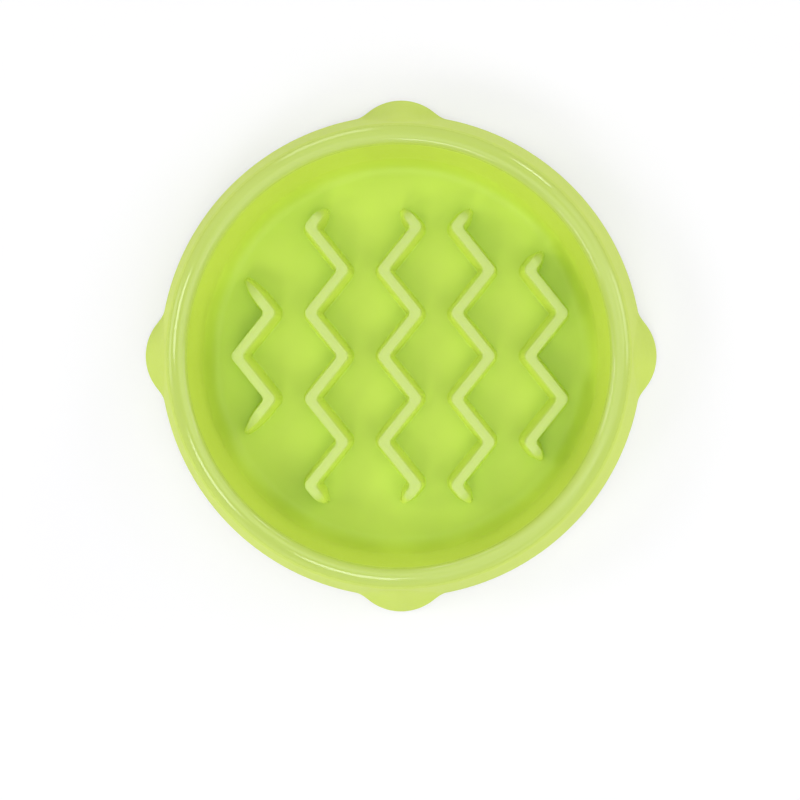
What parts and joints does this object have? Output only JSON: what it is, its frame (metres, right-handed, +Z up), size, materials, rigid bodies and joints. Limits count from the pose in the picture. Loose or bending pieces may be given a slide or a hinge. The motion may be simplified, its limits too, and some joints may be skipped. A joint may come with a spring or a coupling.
{
  "type": "slow feeder bowl",
  "caption": "Round slow feeder pet bowl with raised zigzag ridges on its floor, a rounded lip, and a flared, lobed skirt that stands on rubber feet.",
  "frame": {"origin": "middle of the bowl, on the plane that the feet rest on", "axes": "+Z is up, out of the dish's mouth; +Y runs along the ridges, towards the top of the reference picture; +X runs to its right"},
  "size_m": [0.184, 0.184, 0.038],
  "materials": {
    "bowl_plastic": "semi-gloss moulded polypropylene",
    "foot_rubber": "matt moulded rubber"
  },
  "bodies": {
    "root": {"bowl": "bowl_plastic", "foot_right": "foot_rubber", "foot_back": "foot_rubber", "foot_left": "foot_rubber", "foot_front": "foot_rubber"}
  },
  "joints": []
}
